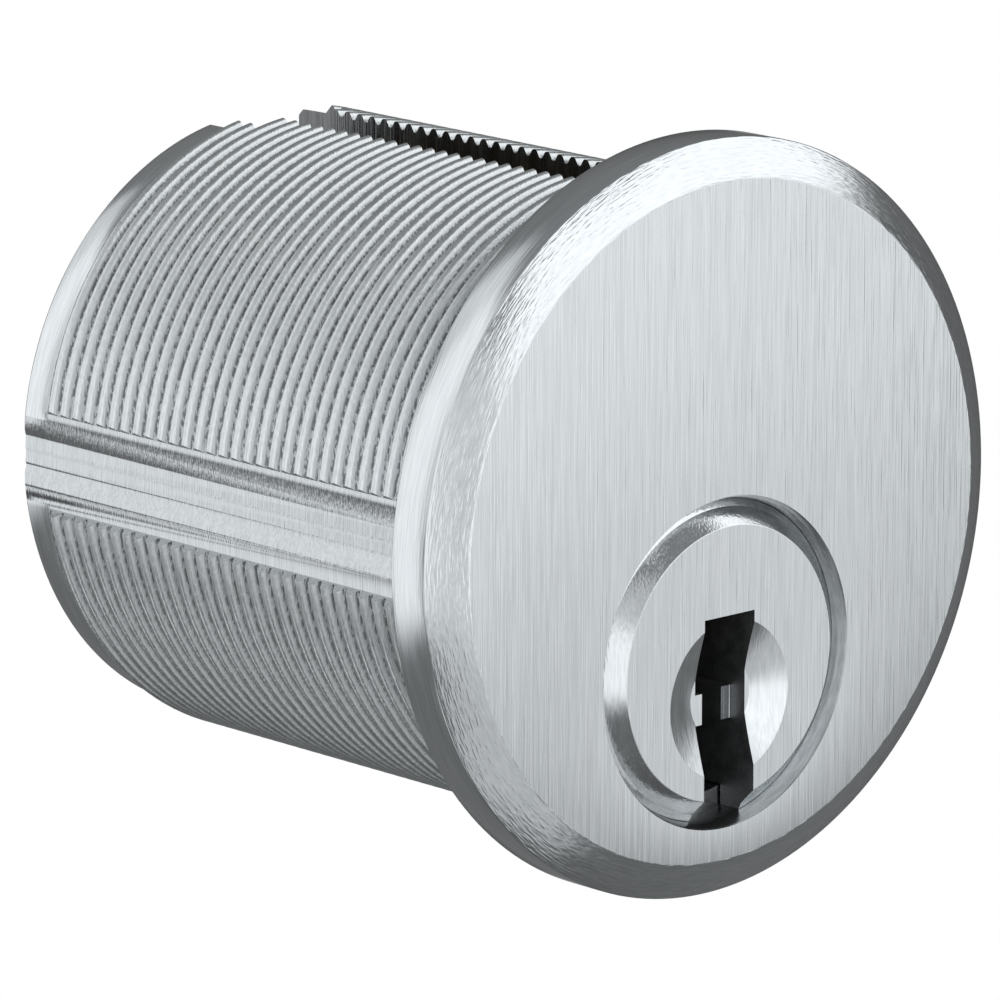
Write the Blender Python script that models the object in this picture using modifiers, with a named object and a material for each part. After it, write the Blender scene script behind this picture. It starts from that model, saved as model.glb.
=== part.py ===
"""A mortise cylinder: a threaded shell with a round head, a pin-tumbler plug set low in it, and its cam.

The origin lies on the shell's axis, in the plane of the head's back face. +Y runs into the door, so the
head faces -Y, and +Z is up, with the pins above the plug. Sizes are in metres. The pins stand as the
right key holds them, at the shear line, where the plug is free to turn.
"""

import math

import bpy
import bmesh

# Body of the shell: the thread's crest, the plain pilot behind it and the neck under the head
BODY_RADIUS = 0.014605
BODY_LENGTH = 0.0285
PILOT_STEP = 0.000455
PILOT_LENGTH = 0.0019
PILOT_CHAMFER = 0.0003
NECK_STEP = 0.000505
NECK_WIDTH = 0.00205

# Head of the shell
HEAD_OVERHANG = 0.002395
HEAD_RIM_WIDTH = 0.0021
HEAD_BEVEL_WIDTH = 0.0017
HEAD_BEVEL_DEPTH = 0.0010

# Set-screw grooves along both sides: depths are below the pilot, heights from the shell's mid-plane
GROOVE_DEPTH = 0.00043
GROOVE_FLOOR_TOP = 0.00085
GROOVE_FLOOR_BOTTOM = -0.00055
GROOVE_PILOT_EDGE = 0.00185
GROOVE_SHOULDER = 0.0013
GROOVE_FLARE = 0.0012

# Slot over the pin chambers, its wide rear end and the strip that closes the chambers
SLOT_WIDTH = 0.0032
SLOT_DEPTH = 0.003355
REAR_SLOT_WIDTH = 0.0057
REAR_SLOT_LENGTH = 0.0037
COVER_THICKNESS = 0.0012
COVER_END_GAP = 0.0003
COVER_SIDE_GAP = 0.00005

# Plug: it lies low in the shell, with the thin wall under it
PLUG_RADIUS = 0.00635
PLUG_WALL = 0.001955
PLUG_RAISE = 0.0002
FLANGE_STEP = 0.0006
FLANGE_DEPTH = 0.0020
PLUG_CHAMFER = 0.0007
MOUTH_CHAMFER = 0.0005

# Dish that guides the key: its centre is below the plug's axis
DISH_DROP = 0.0016
DISH_RADIUS = 0.0036
DISH_FLOOR_RADIUS = 0.0018
DISH_DEPTH = 0.0006

# Keyway section: heights are measured from the plug's axis
KEYWAY_WIDTH = 0.00304
KEYWAY_TOP = 0.0022
LEFT_WARD_DEPTH = 0.00042
LEFT_WARD_TOP = -0.0013
LEFT_WARD_BOTTOM = -0.0027
RIGHT_WARD_DEPTH = 0.00055
RIGHT_WARD_TOP = -0.0003
RIGHT_WARD_BOTTOM = -0.0039
RIGHT_WARD_FLAT_TOP = -0.0015
RIGHT_WARD_FLAT_BOTTOM = -0.0030
RIGHT_WARD_SETBACK = 0.0015

# Pin stacks: the key's cuts are given in steps from the front, and heights from the plug's axis
CHAMBER_PITCH = 0.00396
FIRST_CHAMBER = 0.0029
CHAMBER_FLOOR = -0.0009
PIN_RADIUS = 0.00146
KEY_CUTS = (3, 5, 2, 6, 4, 1)
KEY_TOP = 0.0018
FIRST_CUT = 0.0002
CUT_STEP = 0.00038
KEY_PIN_TIP_RADIUS = 0.0005
KEY_PIN_TIP_LENGTH = 0.0010
DRIVER_SHARE = 3 / 7
PIN_EDGE = 0.0003
SPRING_WIRE = 0.00025
SPRING_TURNS = 7

# Cam and its two screws
CAM_THICKNESS = 0.0028
CAM_HUB_STEP = 0.00075
CAM_REACH = 0.0178
CAM_TIP_WIDTH = 0.0076
CAM_EDGE = 0.0002
SCREW_RADIUS = 0.0013
SCREW_HEAD_RADIUS = 0.0023
SCREW_LENGTH = 0.0058
SCREW_SUNK = 0.0001
SCREW_SLOT_WIDTH = 0.0005
SCREW_SLOT_DEPTH = 0.0005

# Clearances
RUNNING_GAP = 0.00005
PIN_GAP = 0.00004
SHEAR_GAP = 0.0001
SEAT_GAP = 0.0003
SCREW_GAP = 0.0001
PAST = 0.001

# Facets around a full turn
SHELL_STEPS = 96
BORE_STEPS = 72
PIN_STEPS = 20
SCREW_STEPS = 24
SPRING_STEPS = 10
SHARP_ANGLE = math.radians(30)

# Radii, lengths and places that follow from the sizes above
HEAD_RADIUS = BODY_RADIUS + HEAD_OVERHANG
HEAD_FACE_RADIUS = HEAD_RADIUS - HEAD_BEVEL_WIDTH
PILOT_RADIUS = BODY_RADIUS - PILOT_STEP
NECK_RADIUS = BODY_RADIUS - NECK_STEP
FLANGE_RADIUS = PLUG_RADIUS + FLANGE_STEP
BORE_RADIUS = PLUG_RADIUS + RUNNING_GAP
RECESS_RADIUS = FLANGE_RADIUS + RUNNING_GAP
CHAMBER_RADIUS = PIN_RADIUS + PIN_GAP
FACE_Y = -(HEAD_RIM_WIDTH + HEAD_BEVEL_DEPTH)
PLUG_FACE_Y = FACE_Y - PLUG_RAISE
SLOT_LENGTH = BODY_LENGTH - REAR_SLOT_LENGTH
LAST_CHAMBER_LIMIT = SLOT_LENGTH - COVER_END_GAP - CHAMBER_RADIUS
CHAMBER_COUNT = 1 + int((LAST_CHAMBER_LIMIT - FIRST_CHAMBER) / CHAMBER_PITCH)
PLUG_Z = -(BODY_RADIUS - PLUG_WALL - PLUG_RADIUS)
SHEAR_Z = PLUG_Z + PLUG_RADIUS
DRIVER_Z = SHEAR_Z + SHEAR_GAP
SLOT_FLOOR_Z = BODY_RADIUS - SLOT_DEPTH
DRIVER_LENGTH = DRIVER_SHARE * (SLOT_FLOOR_Z - SHEAR_Z)
COVER_Z = SLOT_FLOOR_Z + SHEAR_GAP
CAM_HUB_RADIUS = PLUG_RADIUS + CAM_HUB_STEP
SCREW_SPREAD = (KEYWAY_WIDTH / 2 + PLUG_RADIUS) / 2
CAM_Y = BODY_LENGTH + SEAT_GAP
CAM_REAR_Y = CAM_Y + CAM_THICKNESS
SCREW_TOP_Y = CAM_REAR_Y - SCREW_SUNK


def clear_scene():
    for old in list(bpy.data.objects):
        bpy.data.objects.remove(old, do_unlink=True)


def new_collection(name):
    collection = bpy.data.collections.new(name)
    bpy.context.scene.collection.children.link(collection)
    return collection


def metal(name, colour, roughness):
    """A bare metal finish."""
    material = bpy.data.materials.new(name)
    material.use_nodes = True
    material.diffuse_color = (*colour, 1.0)
    shader = material.node_tree.nodes["Principled BSDF"]
    shader.inputs["Base Color"].default_value = (*colour, 1.0)
    shader.inputs["Metallic"].default_value = 1.0
    shader.inputs["Roughness"].default_value = roughness
    return material


def add_object(name, data, collection, material=None):
    piece = bpy.data.objects.new(name, data)
    collection.objects.link(piece)
    if material:
        data.materials.append(material)
    return piece


def meshed(piece):
    """The piece with its modifiers or its curve made into one welded mesh, shaded smooth round its curves."""
    graph = bpy.context.evaluated_depsgraph_get()
    mesh = bpy.data.meshes.new_from_object(piece.evaluated_get(graph))
    shape = bmesh.new()
    shape.from_mesh(mesh)
    bmesh.ops.remove_doubles(shape, verts=shape.verts, dist=1e-7)
    shape.to_mesh(mesh)
    shape.free()
    mesh.shade_smooth()
    mesh.set_sharp_from_angle(angle=SHARP_ANGLE)
    name, collection, place = piece.name, piece.users_collection[0], piece.matrix_world.copy()
    bpy.data.objects.remove(piece, do_unlink=True)
    solid = add_object(name, mesh, collection)
    solid.matrix_world = place
    return solid


def turned(name, outline, steps, collection, material=None, centre=(0, 0, 0), upright=False):
    """A solid turned from an outline of (radius, distance) points, listed from the far end to the near one.

    The distance runs along +Y from the centre, or along +Z when the solid is upright.
    """
    mesh = bpy.data.meshes.new(name)
    points = [(radius, 0.0, distance) for radius, distance in outline]
    edges = [(i, i + 1) for i in range(len(points) - 1)]
    mesh.from_pydata(points, edges, [])
    piece = add_object(name, mesh, collection)
    screw = piece.modifiers.new("Turn", "SCREW")
    screw.steps = steps
    screw.render_steps = steps
    screw.use_merge_vertices = True
    screw.merge_threshold = 1e-6
    piece.location = centre
    piece.rotation_euler.x = 0.0 if upright else -math.pi / 2
    bpy.context.view_layer.update()
    piece = meshed(piece)
    if material:
        piece.data.materials.append(material)
    return piece


def plate(name, outline, front_y, rear_y, collection, material=None, centre=(0, 0)):
    """A flat solid with an outline of (x, z) points about its centre, standing between two depths."""
    curve = bpy.data.curves.new(name, "CURVE")
    curve.dimensions = "2D"
    curve.fill_mode = "BOTH"
    curve.extrude = (rear_y - front_y) / 2
    spline = curve.splines.new("POLY")
    spline.points.add(len(outline) - 1)
    for point, (x, z) in zip(spline.points, outline):
        point.co = (x, z, 0.0, 1.0)
    spline.use_cyclic_u = True
    piece = add_object(name, curve, collection)
    piece.location = (centre[0], (front_y + rear_y) / 2, centre[1])
    piece.rotation_euler.x = math.pi / 2
    bpy.context.view_layer.update()
    piece = meshed(piece)
    if material:
        piece.data.materials.append(material)
    return piece


def box(name, low, high, collection, material=None):
    bpy.ops.mesh.primitive_cube_add(size=1.0)
    piece = bpy.context.object
    piece.name = name
    piece.data.name = name
    piece.location = [(a + b) / 2 for a, b in zip(low, high)]
    size = [b - a for a, b in zip(low, high)]
    for vertex in piece.data.vertices:
        vertex.co = [c * s for c, s in zip(vertex.co, size)]
    for other in list(piece.users_collection):
        other.objects.unlink(piece)
    collection.objects.link(piece)
    if material:
        piece.data.materials.append(material)
    return piece


def cut(piece, cutter):
    """Takes the cutter's shape out of the piece."""
    cutter.hide_render = True
    cutter.display_type = "WIRE"
    boolean = piece.modifiers.new(cutter.name, "BOOLEAN")
    boolean.operation = "DIFFERENCE"
    boolean.solver = "EXACT"
    boolean.object = cutter


def soften(piece, width):
    """Breaks the piece's sharp edges."""
    bevel = piece.modifiers.new("Broken edges", "BEVEL")
    bevel.width = width
    bevel.segments = 1
    bevel.limit_method = "ANGLE"
    bevel.angle_limit = math.radians(40)


def carried_by(carrier, pieces):
    """Parents the pieces to the empty that carries them, without moving them."""
    bpy.context.view_layer.update()
    for piece in pieces:
        piece.parent = carrier
        piece.matrix_parent_inverse = carrier.matrix_world.inverted()


def chamber_y(index):
    return FIRST_CHAMBER + index * CHAMBER_PITCH


def build_shell(parts, cutters, material):
    """Head, neck, thread blank and pilot in one turning, then its slot, grooves, bore and chambers."""
    thread_start = BODY_LENGTH - PILOT_LENGTH
    outline = [
        (0.0, BODY_LENGTH),
        (PILOT_RADIUS - PILOT_CHAMFER, BODY_LENGTH),
        (PILOT_RADIUS, BODY_LENGTH - PILOT_CHAMFER),
        (PILOT_RADIUS, thread_start),
        (BODY_RADIUS, thread_start - PILOT_STEP),
        (BODY_RADIUS, NECK_WIDTH + NECK_STEP),
        (NECK_RADIUS, NECK_WIDTH),
        (NECK_RADIUS, 0.0),
        (HEAD_RADIUS, 0.0),
        (HEAD_RADIUS, -HEAD_RIM_WIDTH),
        (HEAD_FACE_RADIUS, FACE_Y),
        (0.0, FACE_Y),
    ]
    shell = turned("shell", outline, SHELL_STEPS, parts, material)
    cut_slot(shell, cutters)
    cut_grooves(shell, cutters)
    cut_bore(shell, cutters)
    for index in range(CHAMBER_COUNT):
        outline = [
            (0.0, SLOT_FLOOR_Z + COVER_THICKNESS),
            (CHAMBER_RADIUS, SLOT_FLOOR_Z + COVER_THICKNESS),
            (CHAMBER_RADIUS, PLUG_Z),
            (0.0, PLUG_Z),
        ]
        centre = (0.0, chamber_y(index), 0.0)
        name = f"shell_chamber_cutter_{index + 1}"
        cut(shell, turned(name, outline, PIN_STEPS, cutters, centre=centre, upright=True))
    return shell


def cut_slot(shell, cutters):
    """The slot that the chambers are drilled through, and the wider cut across its rear end."""
    top = BODY_RADIUS + PAST
    low = (-SLOT_WIDTH / 2, 0.0, SLOT_FLOOR_Z)
    high = (SLOT_WIDTH / 2, SLOT_LENGTH + PAST, top)
    cut(shell, box("slot_cutter", low, high, cutters))
    low = (-REAR_SLOT_WIDTH / 2, SLOT_LENGTH, SLOT_FLOOR_Z)
    high = (REAR_SLOT_WIDTH / 2, BODY_LENGTH + PAST, top)
    cut(shell, box("rear_slot_cutter", low, high, cutters))


def groove_outline():
    """Section of the left groove: a flat floor, a straight upper wall and a shoulder under it.

    The shoulder swells back to the pilot's surface before the lower wall opens through the thread.
    """
    def pilot_x(z):
        return -math.sqrt(PILOT_RADIUS**2 - z**2)

    floor_x = -(PILOT_RADIUS - GROOVE_DEPTH)
    flare_x = -(BODY_RADIUS + PAST)
    flare = GROOVE_PILOT_EDGE + GROOVE_FLARE
    return [
        (flare_x, flare),
        (pilot_x(GROOVE_PILOT_EDGE), GROOVE_PILOT_EDGE),
        (floor_x, GROOVE_FLOOR_TOP),
        (floor_x, GROOVE_FLOOR_BOTTOM),
        (pilot_x(GROOVE_SHOULDER), -GROOVE_SHOULDER),
        (pilot_x(GROOVE_PILOT_EDGE), -GROOVE_PILOT_EDGE),
        (flare_x, -flare),
    ]


def cut_grooves(shell, cutters):
    """The groove that the lock case's set screw enters, at nine o'clock and at three."""
    for side, name in ((1, "left_groove_cutter"), (-1, "right_groove_cutter")):
        outline = [(side * x, z) for x, z in groove_outline()]
        cut(shell, plate(name, outline, 0.0, BODY_LENGTH + PAST, cutters))


def cut_bore(shell, cutters):
    """The plug's bore, with the recess for its flange and the chamfer of the recess's mouth."""
    recess_floor = FACE_Y + FLANGE_DEPTH
    outline = [
        (0.0, BODY_LENGTH + PAST),
        (BORE_RADIUS, BODY_LENGTH + PAST),
        (BORE_RADIUS, recess_floor),
        (RECESS_RADIUS, recess_floor),
        (RECESS_RADIUS, FACE_Y + MOUTH_CHAMFER),
        (RECESS_RADIUS + MOUTH_CHAMFER + PAST, FACE_Y - PAST),
        (0.0, FACE_Y - PAST),
    ]
    cut(shell, turned("bore_cutter", outline, BORE_STEPS, cutters, centre=(0, 0, PLUG_Z)))


def build_plug(parts, cutters, material):
    """The plug with its front flange, key dish, warded keyway, pin chambers and cam screw holes."""
    flange_back = FACE_Y + FLANGE_DEPTH - SHEAR_GAP
    outline = [
        (0.0, BODY_LENGTH),
        (PLUG_RADIUS, BODY_LENGTH),
        (PLUG_RADIUS, flange_back),
        (FLANGE_RADIUS, flange_back),
        (FLANGE_RADIUS, PLUG_FACE_Y + PLUG_CHAMFER),
        (FLANGE_RADIUS - PLUG_CHAMFER, PLUG_FACE_Y),
        (0.0, PLUG_FACE_Y),
    ]
    plug = turned("plug", outline, BORE_STEPS, parts, material, centre=(0, 0, PLUG_Z))
    cut_keyway(plug, cutters)
    cut_dish(plug, cutters)
    for index in range(CHAMBER_COUNT):
        outline = [
            (0.0, PLUG_RADIUS + PAST),
            (CHAMBER_RADIUS, PLUG_RADIUS + PAST),
            (CHAMBER_RADIUS, CHAMBER_FLOOR),
            (0.0, CHAMBER_FLOOR),
        ]
        centre = (0.0, chamber_y(index), PLUG_Z)
        name = f"plug_chamber_cutter_{index + 1}"
        cut(plug, turned(name, outline, PIN_STEPS, cutters, centre=centre, upright=True))
    hole_end = SCREW_TOP_Y - SCREW_LENGTH - SEAT_GAP
    for index, side in enumerate((-1, 1)):
        outline = [
            (0.0, BODY_LENGTH + PAST),
            (SCREW_RADIUS + RUNNING_GAP, BODY_LENGTH + PAST),
            (SCREW_RADIUS + RUNNING_GAP, hole_end),
            (0.0, hole_end),
        ]
        centre = (side * SCREW_SPREAD, 0.0, PLUG_Z)
        name = f"plug_screw_hole_cutter_{index + 1}"
        cut(plug, turned(name, outline, SCREW_STEPS, cutters, centre=centre))
    return plug


def keyway_outline():
    """The keyway's section, with a square ward on its left wall and a bevelled one on its right."""
    half = KEYWAY_WIDTH / 2
    left = -half + LEFT_WARD_DEPTH
    right = half - RIGHT_WARD_DEPTH
    bottom = -(FLANGE_RADIUS + PAST)
    return [
        (-half, KEYWAY_TOP),
        (-half, LEFT_WARD_TOP),
        (left, LEFT_WARD_TOP),
        (left, LEFT_WARD_BOTTOM),
        (-half, LEFT_WARD_BOTTOM),
        (-half, bottom),
        (half, bottom),
        (half, RIGHT_WARD_BOTTOM),
        (right, RIGHT_WARD_FLAT_BOTTOM),
        (right, RIGHT_WARD_FLAT_TOP),
        (half, RIGHT_WARD_TOP),
        (half, KEYWAY_TOP),
    ]


def cut_keyway(plug, cutters):
    """The keyway runs the whole plug. In its mouth the right ward is milled away."""
    centre = (0.0, PLUG_Z)
    front = PLUG_FACE_Y - PAST
    rear = BODY_LENGTH + PAST
    cut(plug, plate("keyway_cutter", keyway_outline(), front, rear, cutters, centre=centre))
    half = KEYWAY_WIDTH / 2
    mouth = [
        (0.0, RIGHT_WARD_TOP),
        (0.0, RIGHT_WARD_BOTTOM),
        (half, RIGHT_WARD_BOTTOM),
        (half, RIGHT_WARD_TOP),
    ]
    mouth_end = PLUG_FACE_Y + RIGHT_WARD_SETBACK
    cut(plug, plate("keyway_mouth_cutter", mouth, front, mouth_end, cutters, centre=centre))


def cut_dish(plug, cutters):
    slope = (DISH_RADIUS - DISH_FLOOR_RADIUS) / DISH_DEPTH
    outline = [
        (0.0, PLUG_FACE_Y + DISH_DEPTH),
        (DISH_FLOOR_RADIUS, PLUG_FACE_Y + DISH_DEPTH),
        (DISH_RADIUS + slope * PAST, PLUG_FACE_Y - PAST),
        (0.0, PLUG_FACE_Y - PAST),
    ]
    centre = (0.0, 0.0, PLUG_Z - DISH_DROP)
    cut(plug, turned("dish_cutter", outline, BORE_STEPS, cutters, centre=centre))


def build_key_pins(parts, material):
    """Bottom pins: each reaches from the shear line down to its own cut of the key."""
    rim_radius = PIN_RADIUS - PIN_EDGE
    top = math.sqrt(PLUG_RADIUS**2 - rim_radius**2)
    pins = []
    for index in range(CHAMBER_COUNT):
        step = KEY_CUTS[index % len(KEY_CUTS)]
        tip = KEY_TOP - FIRST_CUT - step * CUT_STEP
        outline = [
            (0.0, top),
            (rim_radius, top),
            (PIN_RADIUS, top - PIN_EDGE),
            (PIN_RADIUS, tip + KEY_PIN_TIP_LENGTH),
            (KEY_PIN_TIP_RADIUS, tip),
            (0.0, tip),
        ]
        centre = (0.0, chamber_y(index), PLUG_Z)
        name = f"key_pin_{index + 1}"
        pins.append(turned(name, outline, PIN_STEPS, parts, material, centre, upright=True))
    return pins


def build_driver_pins(parts, material):
    """Top pins, alike, each standing just above the shear line."""
    outline = [
        (0.0, DRIVER_LENGTH),
        (PIN_RADIUS - PIN_EDGE, DRIVER_LENGTH),
        (PIN_RADIUS, DRIVER_LENGTH - PIN_EDGE),
        (PIN_RADIUS, PIN_EDGE),
        (PIN_RADIUS - PIN_EDGE, 0.0),
        (0.0, 0.0),
    ]
    for index in range(CHAMBER_COUNT):
        centre = (0.0, chamber_y(index), DRIVER_Z)
        name = f"driver_pin_{index + 1}"
        turned(name, outline, PIN_STEPS, parts, material, centre, upright=True)


def build_springs(parts, material):
    """Coil springs between the driver pins and the cover, with a closed turn at each end."""
    coil_radius = PIN_RADIUS - 1.3 * SPRING_WIRE
    closed_rise = 1.2 * SPRING_WIRE
    low = DRIVER_Z + DRIVER_LENGTH + SHEAR_GAP + SPRING_WIRE / 2
    high = COVER_Z - SHEAR_GAP - SPRING_WIRE / 2
    open_rise = (high - low - 2 * closed_rise) / (SPRING_TURNS - 2)
    points = []
    height = low
    for step in range(SPRING_TURNS * SPRING_STEPS + 1):
        angle = 2 * math.pi * step / SPRING_STEPS
        points.append((coil_radius * math.cos(angle), coil_radius * math.sin(angle), height))
        turn = step // SPRING_STEPS
        rise = closed_rise if turn in (0, SPRING_TURNS - 1) else open_rise
        height += rise / SPRING_STEPS
    for index in range(CHAMBER_COUNT):
        name = f"pin_spring_{index + 1}"
        curve = bpy.data.curves.new(name, "CURVE")
        curve.dimensions = "3D"
        curve.bevel_depth = SPRING_WIRE / 2
        curve.bevel_resolution = 1
        curve.use_fill_caps = True
        spline = curve.splines.new("POLY")
        spline.points.add(len(points) - 1)
        for place, point in zip(spline.points, points):
            place.co = (*point, 1.0)
        spring = add_object(name, curve, parts, material)
        spring.location.y = chamber_y(index)


def build_cover(parts, material):
    """The strip staked into the slot, which closes the chambers over their springs."""
    half = SLOT_WIDTH / 2 - COVER_SIDE_GAP
    low = (-half, COVER_END_GAP, COVER_Z)
    high = (half, SLOT_LENGTH - COVER_END_GAP, COVER_Z + COVER_THICKNESS)
    cover = box("chamber_cover", low, high, parts, material)
    soften(cover, COVER_THICKNESS / 8)


def arc(radius, start, end, steps):
    """Points of an arc about the origin, with angles in radians."""
    return [
        (
            radius * math.cos(start + (end - start) * i / steps),
            radius * math.sin(start + (end - start) * i / steps),
        )
        for i in range(steps + 1)
    ]


def cam_outline():
    """A round hub with a finger whose flanks run straight from the hub to a tip turned about the plug."""
    tip = math.asin(CAM_TIP_WIDTH / 2 / CAM_REACH)
    root = math.asin(CAM_TIP_WIDTH / 2 / CAM_HUB_RADIUS)
    up = math.pi / 2
    return [
        *arc(CAM_REACH, up - tip, up + tip, 6),
        *arc(CAM_HUB_RADIUS, up + root, up + 2 * math.pi - root, 40),
    ]


def screw_outline(grow, past, end):
    """A countersunk screw's section from its flat head down to its end, grown for the hole that takes it."""
    shank = SCREW_RADIUS + grow
    head = SCREW_HEAD_RADIUS + grow
    neck = SCREW_TOP_Y - (SCREW_HEAD_RADIUS - SCREW_RADIUS)
    return [
        (0.0, SCREW_TOP_Y + past),
        (head + past, SCREW_TOP_Y + past),
        (shank, neck),
        (shank, end),
        (0.0, end),
    ]


def build_cam(parts, cutters, material):
    cam = plate("cam", cam_outline(), CAM_Y, CAM_REAR_Y, parts, material, centre=(0.0, PLUG_Z))
    soften(cam, CAM_EDGE)
    for index, side in enumerate((-1, 1)):
        outline = screw_outline(SCREW_GAP, PAST, CAM_Y - PAST)
        centre = (side * SCREW_SPREAD, 0.0, PLUG_Z)
        name = f"cam_hole_cutter_{index + 1}"
        cut(cam, turned(name, outline, SCREW_STEPS, cutters, centre=centre))
    return cam


def build_cam_screws(parts, cutters, material):
    screws = []
    for index, side in enumerate((-1, 1)):
        x = side * SCREW_SPREAD
        outline = screw_outline(0.0, 0.0, SCREW_TOP_Y - SCREW_LENGTH)
        name = f"cam_screw_{index + 1}"
        screw = turned(name, outline, SCREW_STEPS, parts, material, centre=(x, 0.0, PLUG_Z))
        half = SCREW_SLOT_WIDTH / 2
        low = (x - SCREW_HEAD_RADIUS - PAST, SCREW_TOP_Y - SCREW_SLOT_DEPTH, PLUG_Z - half)
        high = (x + SCREW_HEAD_RADIUS + PAST, SCREW_TOP_Y + PAST, PLUG_Z + half)
        cut(screw, box(f"screw_slot_cutter_{index + 1}", low, high, cutters))
        screws.append(screw)
    return screws


def main():
    clear_scene()
    parts = new_collection("mortise_cylinder")
    cutters = new_collection("cutters")
    satin = metal("satin_chrome", (0.72, 0.74, 0.76), 0.28)
    cam_metal = metal("cam_steel", (0.62, 0.62, 0.62), 0.4)
    brass = metal("brass", (0.80, 0.62, 0.33), 0.3)
    nickel_silver = metal("nickel_silver", (0.75, 0.72, 0.66), 0.25)
    spring_steel = metal("spring_steel", (0.55, 0.55, 0.56), 0.35)
    screw_steel = metal("screw_steel", (0.50, 0.50, 0.52), 0.35)

    build_shell(parts, cutters, satin)
    build_cover(parts, brass)
    build_driver_pins(parts, nickel_silver)
    build_springs(parts, spring_steel)
    carried = [build_plug(parts, cutters, satin)]
    carried += build_key_pins(parts, brass)
    carried.append(build_cam(parts, cutters, cam_metal))
    carried += build_cam_screws(parts, cutters, screw_steel)

    plug_axis = add_object("plug_axis", None, parts)
    plug_axis.location.z = PLUG_Z
    carried_by(plug_axis, carried)


main()
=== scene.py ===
# %% [markdown]
# A mortise cylinder is the threaded lock barrel that screws into the lock case through the face of a door.
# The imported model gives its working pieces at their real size. This lesson dresses them: it turns the fine
# thread, mills the grooves, brushes the satin faces and sets up a small studio. The model is loaded first
# and is never moved.

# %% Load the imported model
import math

import bpy
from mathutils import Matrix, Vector


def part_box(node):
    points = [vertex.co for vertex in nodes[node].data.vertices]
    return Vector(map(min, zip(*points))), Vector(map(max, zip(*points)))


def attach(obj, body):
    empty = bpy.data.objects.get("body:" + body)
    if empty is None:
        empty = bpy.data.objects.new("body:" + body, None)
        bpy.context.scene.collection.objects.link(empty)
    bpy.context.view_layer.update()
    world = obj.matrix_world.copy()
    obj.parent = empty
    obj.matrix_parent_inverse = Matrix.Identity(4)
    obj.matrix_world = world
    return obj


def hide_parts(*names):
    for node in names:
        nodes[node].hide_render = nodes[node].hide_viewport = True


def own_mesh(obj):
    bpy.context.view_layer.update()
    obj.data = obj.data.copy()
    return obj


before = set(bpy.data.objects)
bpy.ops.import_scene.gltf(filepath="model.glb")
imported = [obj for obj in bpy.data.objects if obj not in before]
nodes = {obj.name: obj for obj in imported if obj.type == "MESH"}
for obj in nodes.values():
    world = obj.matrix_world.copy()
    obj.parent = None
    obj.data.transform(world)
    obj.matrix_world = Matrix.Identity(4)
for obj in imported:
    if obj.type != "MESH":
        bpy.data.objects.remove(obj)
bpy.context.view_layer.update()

# %% [markdown]
# The sizes that the pieces share come from the model where a box can give them: the head's radius and its
# front, the rear end of the body and the plug's axis. The rest are named here once, in metres. The frame's
# origin is in the plane behind the head, +Y runs into the door and +Z is up.

# %% Sizes
shell_low, shell_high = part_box("shell")
plug_low, plug_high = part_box("plug")
HEAD_RADIUS = shell_high.x
FACE_Y = shell_low.y
REAR_Y = shell_high.y
PLUG_FACE_Y = plug_low.y
FLANGE_RADIUS = plug_high.x
PLUG_Z = plug_high.z - FLANGE_RADIUS

CREST_RADIUS = 0.014605
PILOT_RADIUS = 0.01415
PILOT_Y = REAR_Y - 0.0019
CORE_RADIUS = 0.0138
PLUG_RADIUS = 0.00635
PAST = 0.001
HEAD_STEPS = 192
HOLE_STEPS = 32
print("head radius", round(HEAD_RADIUS, 5), "plug axis height", round(PLUG_Z, 5))

# %% [markdown]
# Every cut surface of the real part shows how it was made: turned, milled, threaded or brushed. So the
# finishes get their names first, and each cutter carries the finish of the surface that it leaves. Their
# nodes come later, when the shapes are done.

# %% Names of the finishes
finish = {}
for title in (
    "brushed face", "turned bevel", "turned rim", "cut thread", "milled groove", "milled slot",
    "turned bore", "turned ring", "turned dish", "broached keyway", "tumbled cam", "zinc screw",
    "turned brass", "turned nickel silver", "spring wire",
):
    finish[title] = bpy.data.materials.new(title)
    finish[title].use_nodes = True
print("finishes:", len(finish))

# %% [markdown]
# Turned pieces start as an outline. A hand would drop one point and extrude it along the outline, then spin
# the line about the axis. These helpers do just that, with Blender's own operators. Everything is
# deselected first, because an operator works on all that is selected.

# %% Draw an outline and turn it
def only(piece):
    """Leaves one piece selected and active."""
    bpy.ops.object.select_all(action="DESELECT")
    piece.select_set(True)
    bpy.context.view_layer.objects.active = piece


def draw(name, points, surface=None):
    """A line through the points, left in edit mode."""
    bpy.ops.object.select_all(action="DESELECT")
    bpy.ops.mesh.primitive_plane_add(size=0.001, location=points[0])
    piece = bpy.context.object
    piece.name = name
    piece.data.name = name
    if surface:
        piece.data.materials.append(finish[surface])
    bpy.ops.object.transform_apply(location=True, rotation=True, scale=True)
    bpy.ops.object.mode_set(mode="EDIT")
    bpy.ops.mesh.select_all(action="SELECT")
    bpy.ops.mesh.merge(type="CENTER")
    for start, end in zip(points, points[1:]):
        step = Vector(end) - Vector(start)
        bpy.ops.mesh.extrude_vertices_move(TRANSFORM_OT_translate={"value": step})
    return piece


def close_up(piece):
    """Merges the seams, turns every face outwards and leaves edit mode."""
    bpy.ops.mesh.select_all(action="SELECT")
    bpy.ops.mesh.remove_doubles(threshold=1e-6)
    bpy.ops.mesh.normals_make_consistent(inside=False)
    bpy.ops.object.mode_set(mode="OBJECT")
    return piece


def turned(name, outline, steps, surface=None, height=0.0, side=0.0):
    """A solid turned about an axis along +Y from an outline of (radius, y) points."""
    piece = draw(name, [(side + radius, y, height) for radius, y in outline], surface)
    bpy.ops.mesh.select_all(action="SELECT")
    centre = (side, 0.0, height)
    bpy.ops.mesh.spin(steps=steps, angle=2 * math.pi, center=centre, axis=(0, 1, 0), use_auto_merge=True)
    return close_up(piece)


print("ready to turn with", HEAD_STEPS, "steps around the head and", HOLE_STEPS, "around a small hole")

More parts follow.
